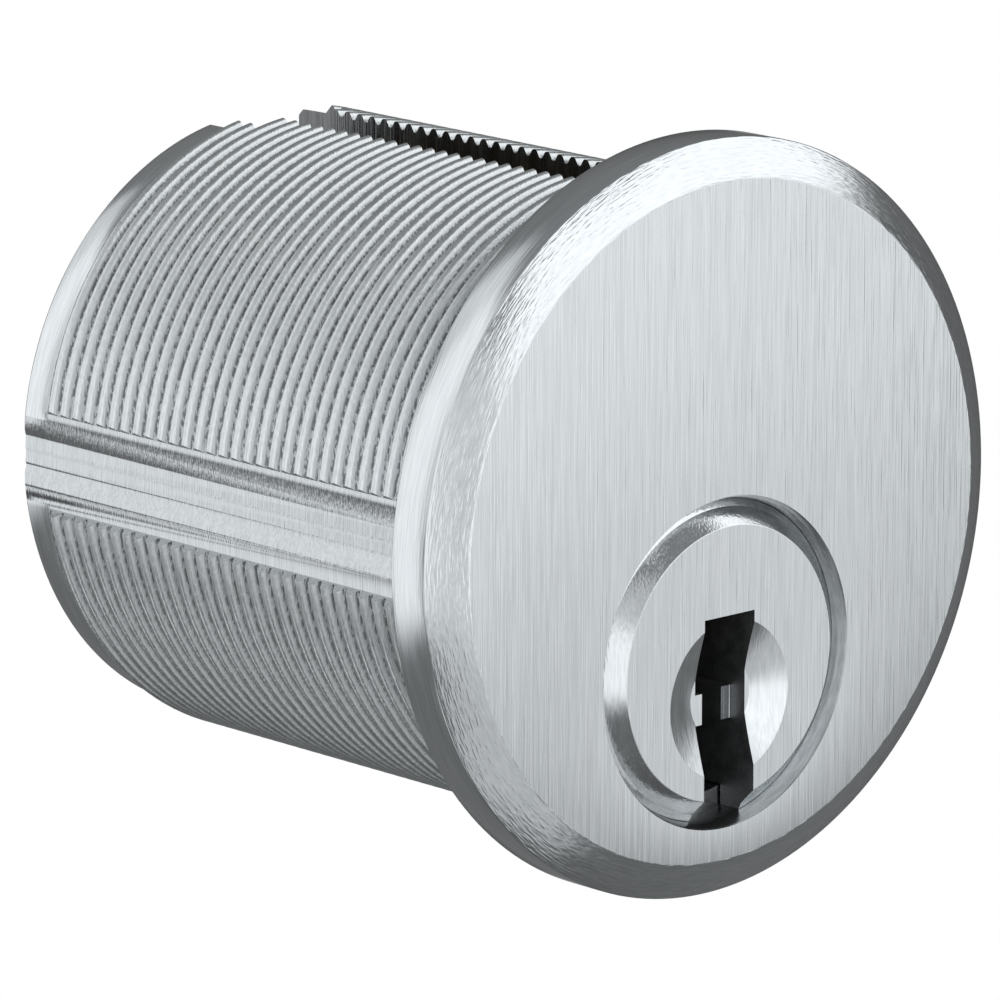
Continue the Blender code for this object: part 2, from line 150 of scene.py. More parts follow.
# %% [markdown]
# The head, the core under the thread and the plain pilot are one turning. Its sharp corners get a small
# round each, as a lathe tool and the brushing leave them. The round is cut into the mesh before anything
# else, so that it runs around the whole corner.

# %% Turn the head, core and pilot
def round_edges(piece, width, least_angle=25):
    """Rounds every edge that is sharper than the angle, with two faces across the round."""
    only(piece)
    bevel = piece.modifiers.new("Small rounds", "BEVEL")
    bevel.width = width
    bevel.segments = 2
    bevel.limit_method = "ANGLE"
    bevel.angle_limit = math.radians(least_angle)
    bpy.ops.object.modifier_apply(modifier=bevel.name)


def report(piece):
    """Prints how many faces a piece has and the box that it fills."""
    low = [round(min(v.co[i] for v in piece.data.vertices), 5) for i in range(3)]
    high = [round(max(v.co[i] for v in piece.data.vertices), 5) for i in range(3)]
    print(piece.name, "faces", len(piece.data.polygons), "from", low, "to", high)


HEAD_RIM_WIDTH = 0.0021
HEAD_BEVEL_WIDTH = 0.0017
CORNER_ROUND = 0.00005
PILOT_CHAMFER = 0.0003
head_outline = [
    (0.0, FACE_Y),
    (HEAD_RADIUS - HEAD_BEVEL_WIDTH, FACE_Y),
    (HEAD_RADIUS, -HEAD_RIM_WIDTH),
    (HEAD_RADIUS, 0.0),
    (CORE_RADIUS, 0.0),
    (CORE_RADIUS, PILOT_Y),
    (PILOT_RADIUS, PILOT_Y),
    (PILOT_RADIUS, REAR_Y - PILOT_CHAMFER),
    (PILOT_RADIUS - PILOT_CHAMFER, REAR_Y),
    (0.0, REAR_Y),
]
shell = turned("dressed_shell", head_outline, HEAD_STEPS, "turned rim")
round_edges(shell, CORNER_ROUND)
report(shell)

# %% [markdown]
# Each face then gets its finish by its place: the flat front is brushed, the faces around it are the turned
# bevel, and the rest stays as the rim was turned. The small round at the front's edge goes with the bevel,
# so it shines as one thin line.

# %% Tell the brushed face from the bevel
STRAIGHT_AHEAD = -0.99


def in_front(face, front_y, round_width):
    """Whether a face lies in the flat front, and not in the small round at its edge."""
    return face.center.y < front_y + round_width / 4 and face.normal.y < STRAIGHT_AHEAD


for title in ("brushed face", "turned bevel"):
    shell.data.materials.append(finish[title])
for face in shell.data.polygons:
    if in_front(face, FACE_Y, CORNER_ROUND):
        face.material_index = 1
    elif face.center.y < -HEAD_RIM_WIDTH:
        face.material_index = 2
brushed = sum(face.material_index == 1 for face in shell.data.polygons)
print("brushed faces:", brushed)

# %% [markdown]
# The thread is the feature that the eye goes to, and a die cuts it as one long helix. So one tooth is drawn
# in section first. The flanks stand at thirty degrees, and the crest and the root are flats with rounded
# corners.

# %% Draw one tooth of the thread
PITCH = 0.00084
CREST_FLAT = 0.00027
ROOT_FLAT = 0.00015
FLANK_LEAN = math.radians(30)
CREST_ROUND = 0.00021
ROOT_ROUND = 0.00011
CREST_STEPS = 5
ROOT_STEPS = 3
THREAD_DEPTH = (PITCH - CREST_FLAT - ROOT_FLAT) / 2 / math.tan(FLANK_LEAN)
root_radius = CREST_RADIUS - THREAD_DEPTH


def corner(radius, y, hollow, steps):
    """A rounded corner of the tooth. It turns from the axis to the flank, or back for a hollow one."""
    turn = math.pi / 2 - FLANK_LEAN
    reach = abs(hollow) * math.tan(turn / 2)
    arc = []
    for i in range(steps + 1):
        angle = turn * i / steps
        out = radius - hollow * (1 - math.cos(angle))
        along = y - math.copysign(reach, hollow) + hollow * math.sin(angle)
        arc.append((out, along))
    return arc


crest = corner(CREST_RADIUS, CREST_FLAT / 2, CREST_ROUND, CREST_STEPS)
root = corner(root_radius, (PITCH - ROOT_FLAT) / 2, -ROOT_ROUND, ROOT_STEPS)[::-1]
half_tooth = crest + root + [(root_radius, PITCH / 2)]
tooth = [(radius, -y) for radius, y in half_tooth[::-1]] + half_tooth
print("tooth of", len(tooth), "points and depth", round(THREAD_DEPTH, 6))

# %% [markdown]
# A displaced cylinder would give rings, not a thread. The Screw modifier winds the tooth around the axis,
# one pitch further for each turn, and the turns join up into one surface. The photograph shows where a
# crest passes the left side near the rear end. The start is counted back from there in whole turns, and
# there are turns to spare at both ends.

# %% Wind the thread
def wind(piece, axis, rise, turns, steps):
    """Winds a section around an axis through the origin and leaves it in edit mode."""
    winding = piece.modifiers.new("Winding", "SCREW")
    winding.axis = axis
    winding.angle = 2 * math.pi
    winding.screw_offset = rise
    winding.iterations = turns
    winding.steps = steps
    winding.render_steps = steps
    only(piece)
    bpy.ops.object.modifier_apply(modifier=winding.name)
    bpy.ops.object.mode_set(mode="EDIT")
    bpy.ops.mesh.select_all(action="SELECT")


THREAD_STEPS = 144
THREAD_TURNS = 35
SPARE_TURNS = 2
CREST_Y_AT_LEFT = 0.025973
first_crest = CREST_Y_AT_LEFT - (THREAD_TURNS - SPARE_TURNS) * PITCH
thread = draw("thread", [(-radius, first_crest + y, 0.0) for radius, y in tooth], "cut thread")
bpy.ops.object.mode_set(mode="OBJECT")
wind(thread, "Y", PITCH, THREAD_TURNS, THREAD_STEPS)
close_up(thread)
print("thread turns:", THREAD_TURNS, "vertices:", len(thread.data.vertices))

# %% [markdown]
# The winding runs past the thread at both ends. It is first cut square, which also closes its ends. Then a
# blank with a 45 degree rear end trims it, like the chamfer that a bar gets before the die, and it is joined
# to the core. Cutters work as real tools do: a solid with the form of the cut is taken away and leaves its
# own finish on the walls. The Manifold solver is quick and keeps closed solids closed.

# %% Trim the thread and join it to the core
def combine(piece, tool, operation="DIFFERENCE"):
    """Cuts the tool out, joins it on or keeps what both share. The cut takes the tool's finish."""
    only(piece)
    boolean = piece.modifiers.new(tool.name, "BOOLEAN")
    boolean.operation = operation
    boolean.solver = "MANIFOLD"
    boolean.material_mode = "TRANSFER"
    boolean.object = tool
    bpy.ops.object.modifier_apply(modifier=boolean.name)
    bpy.data.objects.remove(tool, do_unlink=True)


THREAD_FRONT_Y = -0.0002
INTO_PILOT = 0.00004
THREAD_REAR_Y = PILOT_Y + INTO_PILOT
SQUARE_SPARE = 0.0003
OVER_CREST = 0.0148
only(thread)
bpy.ops.object.mode_set(mode="EDIT")
for place, side in ((THREAD_FRONT_Y, True), (THREAD_REAR_Y + SQUARE_SPARE, False)):
    bpy.ops.mesh.select_all(action="SELECT")
    bpy.ops.mesh.bisect(
        plane_co=(0, place, 0), plane_no=(0, 1, 0), threshold=1e-7, use_fill=True,
        clear_inner=side, clear_outer=not side,
    )
close_up(thread)
blank_outline = [
    (0.0, THREAD_FRONT_Y - PAST),
    (OVER_CREST, THREAD_FRONT_Y - PAST),
    (OVER_CREST, THREAD_REAR_Y - (OVER_CREST - PILOT_RADIUS)),
    (PILOT_RADIUS, THREAD_REAR_Y),
    (0.0, THREAD_REAR_Y),
]
combine(thread, turned("thread_blank", blank_outline, HEAD_STEPS, "turned rim"), "INTERSECT")
combine(shell, thread, "UNION")
report(shell)

# %% [markdown]
# A set screw in the lock case bears on a groove along the body and keeps the cylinder from turning out. The
# groove's section is drawn from its real form: a floor with two fine ridges where the cutter's passes meet,
# a straight upper wall, and below the floor a soft shoulder that swells back to the pilot's surface before
# the wall opens through the thread.

# %% Draw the groove
FLOOR_X = 0.01375
FLOOR_TOP = 0.00085
FLOOR_BOTTOM = -0.00050
SHOULDER_X = 0.01405
SHOULDER_TOP = -0.00130
SHOULDER_STEPS = 12
PASS_STEP = 0.00004
PASS_HEIGHT = 0.00014
FIRST_PASS = 0.00027
SECOND_PASS = -0.00036
PILOT_EDGE = 0.00185
LOW_EDGE_X = 0.01399
FLARE_X = 0.01407
FLARE_START = 0.0022
FLARE_OUT = 0.0010
FLARE_RISE = 0.00065


def pilot_x(z):
    """How far out the pilot's surface is at a height."""
    return math.sqrt(PILOT_RADIUS**2 - z**2)


swell = []
for i in range(SHOULDER_STEPS + 1):
    share = i / SHOULDER_STEPS
    x = FLOOR_X + (SHOULDER_X - FLOOR_X) * (1 - math.cos(math.pi * share)) / 2
    swell.append((x, FLOOR_BOTTOM + (SHOULDER_TOP - FLOOR_BOTTOM) * share))
passes = []
for z in (FIRST_PASS, SECOND_PASS):
    passes.append((FLOOR_X + PASS_STEP, z))
    passes.append((FLOOR_X, z - PASS_HEIGHT))
groove_outline = [
    (FLOOR_X, FLOOR_TOP),
    (pilot_x(PILOT_EDGE), PILOT_EDGE),
    (FLARE_X, FLARE_START),
    (FLARE_X + FLARE_OUT, FLARE_START + FLARE_RISE),
    (LOW_EDGE_X + FLARE_OUT, -FLARE_START - FLARE_RISE),
    (LOW_EDGE_X, -FLARE_START),
    (SHOULDER_X - PASS_STEP, SHOULDER_TOP - PASS_HEIGHT),
    *swell[:0:-1],
    *passes[::-1],
]
print("groove outline has", len(groove_outline), "points")

# %% [markdown]
# The slot over the pins is milled along the top, and its rear end is wider, where the cam passes. There is
# a groove on the left and on the right, each milled from the head to the rear end. All four cuts go through
# the thread, so its teeth show along their edges. A cutter is its outline, closed and extruded along +Y.

# %% Mill the slots and the grooves
def milled(name, outline, front_y, rear_y, surface=None):
    """A straight solid with an outline of (x, z) points, extruded from one depth to another."""
    loop = [(x, front_y, z) for x, z in (*outline, outline[0])]
    piece = draw(name, loop, surface)
    bpy.ops.mesh.select_all(action="SELECT")
    bpy.ops.mesh.remove_doubles(threshold=1e-6)
    bpy.ops.mesh.edge_face_add()
    bpy.ops.mesh.extrude_region_move(TRANSFORM_OT_translate={"value": (0, rear_y - front_y, 0)})
    return close_up(piece)


def box_outline(left, right, low, high):
    """The four corners of a square cut, as (x, z) points."""
    return [(left, low), (right, low), (right, high), (left, high)]


SLOT_WIDTH = 0.0032
WIDE_SLOT_WIDTH = 0.0057
SLOT_FLOOR_Z = 0.01125
SLOT_TOP_Z = CREST_RADIUS + PAST
SLOT_REAR_Y = REAR_Y - 0.003
WIDE_SLOT_Y = REAR_Y - 0.0037
for width, front_y, rear_y in (
    (SLOT_WIDTH, 0.0, SLOT_REAR_Y),
    (WIDE_SLOT_WIDTH, WIDE_SLOT_Y, REAR_Y + PAST),
):
    outline = box_outline(-width / 2, width / 2, SLOT_FLOOR_Z, SLOT_TOP_Z)
    combine(shell, milled("slot_cutter", outline, front_y, rear_y, "milled slot"))
for side in (-1, 1):
    outline = [(side * x, z) for x, z in groove_outline]
    combine(shell, milled("groove_cutter", outline, 0.0, REAR_Y + PAST, "milled groove"))
report(shell)

# %% [markdown]
# The bore takes the plug, with a recess for the plug's flange. The bright ring around the plug is one V
# channel: its steep outer wall is the mouth of the recess, painted darker as painted shade, and its slope is
# turned on the plug's edge. The two meet with next to no gap, so the joint doesn't show.

# %% Bore the shell
RUNNING_GAP = 0.00005
BORE_RADIUS = PLUG_RADIUS + RUNNING_GAP
RECESS_Y = FACE_Y + 0.0020
MOUTH_RADIUS = 0.00751
THROAT_RADIUS = 0.00744
THROAT_DEPTH = 0.00010
RIM_RADIUS = 0.00725
RIM_GAP = 0.00001
RECESS_RADIUS = RIM_RADIUS + RIM_GAP
RECESS_DEPTH = 0.00075
bore_outline = [
    (0.0, FACE_Y - PAST),
    (MOUTH_RADIUS + PAST, FACE_Y - PAST),
    (MOUTH_RADIUS, FACE_Y),
    (THROAT_RADIUS, FACE_Y + THROAT_DEPTH),
    (RECESS_RADIUS, FACE_Y + RECESS_DEPTH),
    (RECESS_RADIUS, RECESS_Y),
    (BORE_RADIUS, RECESS_Y),
    (BORE_RADIUS, REAR_Y + PAST),
    (0.0, REAR_Y + PAST),
]
combine(shell, turned("bore_cutter", bore_outline, HEAD_STEPS, "turned bore", PLUG_Z))
report(shell)

# %% [markdown]
# Six pin chambers are drilled in a row, from the slot down into the bore. The same drill goes into the plug
# later, so the holes line up. The shell is then done. It is shaded smooth over the lathe's small steps,
# and every corner that is sharper than 35 degrees stays sharp.

# %% Drill the shell's chambers
def upright(name, outline, steps, y, surface=None):
    """A solid turned about a vertical axis from an outline of (radius, z) points."""
    piece = draw(name, [(radius, y, z) for radius, z in outline], surface)
    bpy.ops.mesh.select_all(action="SELECT")
    centre = (0, y, 0)
    bpy.ops.mesh.spin(steps=steps, angle=2 * math.pi, center=centre, axis=(0, 0, 1), use_auto_merge=True)
    return close_up(piece)


CHAMBER_RADIUS = 0.0015
CHAMBER_PITCH = 0.00396
FIRST_CHAMBER_Y = 0.0029
CHAMBER_COUNT = 6


def drill(piece, low, high):
    """Drills the row of chambers between two heights."""
    outline = [(0.0, low), (CHAMBER_RADIUS, low), (CHAMBER_RADIUS, high), (0.0, high)]
    for index in range(CHAMBER_COUNT):
        y = FIRST_CHAMBER_Y + index * CHAMBER_PITCH
        combine(piece, upright("chamber_cutter", outline, HOLE_STEPS, y, "turned bore"))


def smooth(piece, degrees):
    """Shades smoothly over every edge that is flatter than the angle."""
    only(piece)
    bpy.ops.object.shade_smooth_by_angle(angle=math.radians(degrees))


SHELL_SHADING = 35
drill(shell, PLUG_Z, SLOT_FLOOR_Z + PAST)
smooth(shell, SHELL_SHADING)
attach(shell, "shell")
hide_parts("shell")
report(shell)

# %% [markdown]
# The plug is turned too. Its front is brushed together with the head, and it stands just proud of it. The
# slope on its edge is the inner half of the V channel. It flattens a little on its way down, so it is drawn
# with a few points. The flange behind the slope drops into the recess.

# %% Turn the plug
FACE_EDGE_RADIUS = 0.00622
EDGE_SLOPE = ((0.00024, 0.00027), (0.00048, 0.00053), (0.00071, 0.00076))
PLUG_ROUND = 0.00002
FLANGE_BACK_Y = RECESS_Y - 0.0001
slope = [(FACE_EDGE_RADIUS + out, PLUG_FACE_Y + deep) for out, deep in EDGE_SLOPE]
plug_outline = [
    (0.0, PLUG_FACE_Y),
    (FACE_EDGE_RADIUS, PLUG_FACE_Y),
    *slope,
    (RIM_RADIUS, FACE_Y + RECESS_DEPTH),
    (RIM_RADIUS, FLANGE_BACK_Y),
    (PLUG_RADIUS, FLANGE_BACK_Y),
    (PLUG_RADIUS, REAR_Y),
    (0.0, REAR_Y),
]
plug = turned("dressed_plug", plug_outline, HEAD_STEPS, "turned ring", PLUG_Z)
round_edges(plug, PLUG_ROUND)
plug.data.materials.append(finish["brushed face"])
for face in plug.data.polygons:
    if in_front(face, PLUG_FACE_Y, PLUG_ROUND):
        face.material_index = 1
report(plug)

# %% [markdown]
# A shallow dish guides the key's tip. It is a cone with a flat floor, turned a little below the plug's
# axis, so that its centre lies in the keyway. Its cutter carries the cone on past the face, so that the
# dish gets a clean edge.

# %% Turn the dish
DISH_Z = PLUG_Z - 0.0016
DISH_RADIUS = 0.0036
DISH_FLOOR_RADIUS = 0.0018
DISH_DEPTH = 0.0006
dish_slope = (DISH_RADIUS - DISH_FLOOR_RADIUS) / DISH_DEPTH
dish_outline = [
    (0.0, PLUG_FACE_Y - PAST),
    (DISH_RADIUS + dish_slope * PAST, PLUG_FACE_Y - PAST),
    (DISH_FLOOR_RADIUS, PLUG_FACE_Y + DISH_DEPTH),
    (0.0, PLUG_FACE_Y + DISH_DEPTH),
]
combine(plug, turned("dish_cutter", dish_outline, HEAD_STEPS, "turned dish", DISH_Z))
report(plug)

# %% [markdown]
# The keyway is broached through the whole plug and is open below. Its two wards keep other keys out: a
# square one on the left and one with two bevels on the right, where a key of this lock has its grooves.
# The section is drawn as a path around the opening and extruded, as a broach cuts it.

# %% Broach the keyway
HALF_KEYWAY = 0.00152
KEYWAY_TOP = PLUG_Z + 0.0022
BELOW_PLUG = PLUG_Z - FLANGE_RADIUS - PAST
LEFT_WARD_X = -0.0011
LEFT_WARD_TOP = PLUG_Z - 0.0013
LEFT_WARD_BOTTOM = PLUG_Z - 0.0027
RIGHT_WARD_X = 0.00097
RIGHT_WARD_TOP = PLUG_Z - 0.0003
RIGHT_WARD_BOTTOM = PLUG_Z - 0.0039
RIGHT_FLAT_TOP = PLUG_Z - 0.0015
RIGHT_FLAT_BOTTOM = PLUG_Z - 0.0030
keyway_outline = [
    (-HALF_KEYWAY, KEYWAY_TOP),
    (-HALF_KEYWAY, LEFT_WARD_TOP),
    (LEFT_WARD_X, LEFT_WARD_TOP),
    (LEFT_WARD_X, LEFT_WARD_BOTTOM),
    (-HALF_KEYWAY, LEFT_WARD_BOTTOM),
    (-HALF_KEYWAY, BELOW_PLUG),
    (HALF_KEYWAY, BELOW_PLUG),
    (HALF_KEYWAY, RIGHT_WARD_BOTTOM),
    (RIGHT_WARD_X, RIGHT_FLAT_BOTTOM),
    (RIGHT_WARD_X, RIGHT_FLAT_TOP),
    (HALF_KEYWAY, RIGHT_WARD_TOP),
    (HALF_KEYWAY, KEYWAY_TOP),
]
broach = milled("broach", keyway_outline, PLUG_FACE_Y - PAST, REAR_Y + PAST, "broached keyway")
combine(plug, broach)
report(plug)

# %% [markdown]
# The right ward starts behind the dish, and its two bevels start further back, so a key finds its way in.
# A last skin is taken off the ward's front between them with the bright finish of the face, because that
# small front catches the light in the dark keyway.

# %% Cut the ward back
WARD_Y = PLUG_FACE_Y + 0.0015
WARD_BEVEL_Y = PLUG_FACE_Y + 0.0045
SKIN = 0.00003
for low, high, side_x, rear_y, surface in (
    (RIGHT_WARD_BOTTOM, RIGHT_WARD_TOP, HALF_KEYWAY, WARD_Y, "broached keyway"),
    (RIGHT_WARD_BOTTOM, RIGHT_FLAT_BOTTOM, HALF_KEYWAY, WARD_BEVEL_Y, "broached keyway"),
    (RIGHT_FLAT_TOP, RIGHT_WARD_TOP, HALF_KEYWAY, WARD_BEVEL_Y, "broached keyway"),
    (RIGHT_FLAT_BOTTOM, RIGHT_FLAT_TOP, HALF_KEYWAY - SKIN, WARD_Y + SKIN, "brushed face"),
):
    outline = box_outline(0.0, side_x, low, high)
    combine(plug, milled("ward_cutter", outline, PLUG_FACE_Y - PAST, rear_y, surface))
report(plug)

# %% [markdown]
# The plug gets the row of chambers from above, down to their seats on the wards, and two screw holes in its
# rear end for the cam. The dish's slope meets the face at only 18 degrees, so the plug is shaded smooth
# over angles up to 12 degrees only, and the dish keeps its edge.

# %% Drill the plug
CHAMBER_SEAT_Z = PLUG_Z - 0.0009
drill(plug, CHAMBER_SEAT_Z, PLUG_Z + PLUG_RADIUS + PAST)
SCREW_SPREAD = 0.003935
SCREW_HOLE_RADIUS = 0.00135
SCREW_HOLE_DEPTH = 0.0031
hole_outline = [
    (0.0, REAR_Y - SCREW_HOLE_DEPTH),
    (SCREW_HOLE_RADIUS, REAR_Y - SCREW_HOLE_DEPTH),
    (SCREW_HOLE_RADIUS, REAR_Y + PAST),
    (0.0, REAR_Y + PAST),
]
for side in (-SCREW_SPREAD, SCREW_SPREAD):
    combine(plug, turned("screw_hole_cutter", hole_outline, HOLE_STEPS, "turned bore", PLUG_Z, side))
PLUG_SHADING = 12
smooth(plug, PLUG_SHADING)
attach(plug, "plug")
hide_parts("plug")
report(plug)

# %% [markdown]
# The springs over the driver pins are wound from drawn wire on a mandrel. The model's own ones stay stiff,
# so a lifted pin would run into them. Here each is wound as a mesh: the wire's round section is taken up
# the coil by the Screw modifier and its ends are capped.

# %% Wind the springs
WIRE_RADIUS = 0.000125
WIRE_SIDES = 8
SPRING_TURNS = 7
SPRING_STEPS = 24
SPRING_SHADING = 60
for number in range(1, CHAMBER_COUNT + 1):
    low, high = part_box(f"pin_spring_{number}")
    coil_radius = (high.x - low.x) / 2 - WIRE_RADIUS
    middle_y = (low.y + high.y) / 2
    length = high.z - low.z
    bpy.ops.object.select_all(action="DESELECT")
    bpy.ops.mesh.primitive_circle_add(
        vertices=WIRE_SIDES, radius=WIRE_RADIUS, rotation=(math.pi / 2, 0, 0),
        location=(coil_radius, 0, low.z + WIRE_RADIUS),
    )
    spring = bpy.context.object
    spring.name = f"wound_spring_{number}"
    spring.data.name = spring.name
    bpy.ops.object.transform_apply(location=True, rotation=True, scale=True)
    wind(spring, "Z", (length - 2 * WIRE_RADIUS) / SPRING_TURNS, SPRING_TURNS, SPRING_STEPS)
    bpy.ops.mesh.fill_holes(sides=WIRE_SIDES)
    bpy.ops.transform.translate(value=(0, middle_y, 0))
    close_up(spring)
    spring.data.materials.append(finish["spring wire"])
    smooth(spring, SPRING_SHADING)
    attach(spring, "shell")
    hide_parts(f"pin_spring_{number}")
    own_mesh(spring)

# %% [markdown]
# The photograph was taken with a long lens from the front left and a little above. The camera's place is
# worked out from its bearing, its height and its distance, and it looks at a point a little beside the
# thread's axis. No shift is needed.

# %% Camera
CAMERA_BEARING = math.radians(-42.6206)
CAMERA_HEIGHT = math.radians(13.1328)
CAMERA_DISTANCE = 0.370265
AIM = Vector((0.0, 0.010, 0.0))
AIM_RIGHT = -0.0010911
AIM_UP = -0.0011549
FOCAL_PIXELS = 8234.08
FRAME_PIXELS = 1000
SENSOR = 36.0
right = Vector((math.cos(CAMERA_BEARING), math.sin(CAMERA_BEARING), 0.0))
back = Vector((
    math.sin(CAMERA_BEARING) * math.cos(CAMERA_HEIGHT),
    -math.cos(CAMERA_BEARING) * math.cos(CAMERA_HEIGHT),
    math.sin(CAMERA_HEIGHT),
))
up = back.cross(right)
camera_data = bpy.data.cameras.new("camera")
camera_data.sensor_width = SENSOR
camera_data.lens = FOCAL_PIXELS / FRAME_PIXELS * SENSOR
camera_data.clip_start = 0.01
camera_data.clip_end = 10.0
camera = bpy.data.objects.new("camera", camera_data)
bpy.context.scene.collection.objects.link(camera)
camera.location = AIM + right * AIM_RIGHT + up * AIM_UP + back * CAMERA_DISTANCE
camera.rotation_euler = back.to_track_quat("Z", "Y").to_euler()
bpy.context.scene.camera = camera
bpy.context.scene.view_settings.view_transform = "Standard"
print("camera at", [round(c, 4) for c in camera.location], "lens", round(camera_data.lens, 2))

# %% [markdown]
# Materials and studio are drawn with nodes. By hand each node would be added, set and wired in turn. A few
# short helpers do the same in one line, and they take the socket of another node or a plain value.

# %% Helpers for placing nodes
def put(tree, kind, *values, **settings):
    """A new node with its settings. Its inputs in order get sockets or plain values, and None skips one."""
    made = tree.nodes.new(kind)
    for key, value in settings.items():
        setattr(made, key, value)
    for place, value in enumerate(values):
        if isinstance(value, bpy.types.NodeSocket):
            tree.links.new(value, made.inputs[place])
        elif value is not None:
            made.inputs[place].default_value = value
    return made


def maths(tree, operation, *values):
    """A Math node. It gives the output socket."""
    return put(tree, "ShaderNodeMath", *values, operation=operation).outputs[0]


def fade(tree, value, start, end, low=0.0, high=1.0, easing="LINEAR"):
    """A Map Range node: low up to the start, high from the end on. It gives the output socket."""
    spans = (value, start, end, low, high)
    return put(tree, "ShaderNodeMapRange", *spans, interpolation_type=easing).outputs[0]


def new_group(title, inputs, outputs):
    """A node group with numbers going in and out. It gives the group and the sockets that come in."""
    group = bpy.data.node_groups.new(title, "ShaderNodeTree")
    for direction, names in (("INPUT", inputs), ("OUTPUT", outputs)):
        for name in names:
            group.interface.new_socket(name, in_out=direction, socket_type="NodeSocketFloat")
    return group, put(group, "NodeGroupInput").outputs


print("ready to place nodes")

# %% [markdown]
# Bare metal shows its surroundings, so the studio matters more than any lamp. The world holds it. Each soft
# box is a smooth patch of light in the sky around the object, with a bearing, a height and soft edges, and
# one node group draws them all.

# %% A node group for one soft box
BOX_PLACE = ("Centre bearing", "Centre height", "Half width", "Half height", "Softness")
soft_box, given = new_group("Soft box", ("Bearing", "Height", *BOX_PLACE), ("Mask",))
offset = maths(soft_box, "SUBTRACT", given["Bearing"], given["Centre bearing"])
turn = maths(soft_box, "ABSOLUTE", maths(soft_box, "WRAP", offset, 180.0, -180.0))
climb = maths(soft_box, "ABSOLUTE", maths(soft_box, "SUBTRACT", given["Height"], given["Centre height"]))
masks = []
for distance, half in ((turn, "Half width"), (climb, "Half height")):
    inner = maths(soft_box, "SUBTRACT", given[half], given["Softness"])
    outer = maths(soft_box, "ADD", given[half], given["Softness"])
    masks.append(fade(soft_box, distance, inner, outer, 1.0, 0.0, "SMOOTHSTEP"))
put(soft_box, "NodeGroupOutput", maths(soft_box, "MULTIPLY", *masks))
print("soft box group with", len(soft_box.nodes), "nodes")

# %% [markdown]
# In a real studio the metal also shows the room: dim all around, darkest straight below and a little
# lighter towards the ceiling. A curve over the height above the horizon gives that. Bearings are counted
# from +Y, behind the object, and positive ones turn towards +X.

# %% The room in the world
ROOM_LEVELS = ((-90.0, 0.08), (-50.0, 0.16), (-30.0, 0.17), (0.0, 0.14), (40.0, 0.22), (90.0, 0.25))
studio = bpy.data.worlds.new("studio")
bpy.context.scene.world = studio
studio.use_nodes = True
tree = studio.node_tree
tree.nodes.clear()
place = put(tree, "ShaderNodeTexCoord")
parts = put(tree, "ShaderNodeSeparateXYZ", place.outputs["Generated"]).outputs
bearing = maths(tree, "DEGREES", maths(tree, "ARCTAN2", parts["X"], parts["Y"]))
height = maths(tree, "DEGREES", maths(tree, "ARCSINE", parts["Z"]))
share = maths(tree, "DIVIDE", maths(tree, "ADD", height, 90.0), 180.0)
room = put(tree, "ShaderNodeFloatCurve", None, share)
curve = room.mapping.curves[0]
while len(curve.points) < len(ROOM_LEVELS):
    curve.points.new(0.5, 0.5)
for point, (degrees, level) in zip(curve.points, ROOM_LEVELS):
    point.location = ((degrees + 90.0) / 180.0, level)
room.mapping.update()
print("room levels:", len(curve.points))

# %% [markdown]
# The flat face shows the wide box on the front right, with a brighter strip in it and another box above.
# The thread and the rim show a wide box on the front left with two brighter ones in it, and a tall panel
# behind on the left. Dimmer boxes high on the left, high behind, low in front and low on the left open up
# the top and the underside. The gaps between them stay dark and give the metal its contrast. Each box is
# mixed over those before it.

# %% The soft boxes over the room
SOFT_BOXES = (
    # bearing, height, half width, half height, softness, level
    (-180.0, -38.0, 28.0, 24.0, 7.0, 0.60),
    (-72.0, -52.0, 22.0, 11.0, 6.0, 0.90),
    (-106.0, 45.0, 46.0, 24.0, 8.0, 0.62),
    (-130.0, 1.0, 60.0, 28.0, 8.0, 0.75),
    (-85.0, 16.0, 26.0, 18.0, 6.0, 0.95),
    (-121.0, -1.0, 25.0, 20.0, 6.0, 1.15),
    (147.0, 1.0, 37.0, 19.0, 8.0, 1.02),
    (140.0, 34.0, 50.0, 19.0, 5.0, 1.35),
    (168.0, -2.0, 9.0, 16.0, 4.0, 1.30),
    (-36.0, 12.0, 20.0, 36.0, 5.0, 1.10),
    (-11.0, 34.0, 11.0, 14.0, 5.0, 0.82),
)


def mixed(tree, kind, share, first, second):
    """A Mix node for numbers or colours. It gives the output socket."""
    skip, out = {"FLOAT": (1, 0), "RGBA": (5, 2)}[kind]
    unused = [None] * skip
    return put(tree, "ShaderNodeMix", share, *unused, first, second, data_type=kind).outputs[out]


def box_mask(places):
    """Where a soft box is seen in the world."""
    return put(tree, "ShaderNodeGroup", bearing, height, *places, node_tree=soft_box).outputs["Mask"]


light_level = room.outputs[0]
for *places, brightness in SOFT_BOXES:
    light_level = mixed(tree, "FLOAT", box_mask(places), light_level, brightness)
print("soft boxes:", len(SOFT_BOXES))

# %% [markdown]
# A white paper sweep hangs behind the object. The camera sees it as plain white everywhere. The metal sees
# it too, and so would glass, but only where the sweep hangs, behind the object and a little below it.
# Everywhere else the metal sees the studio, which is a touch cooler than white.

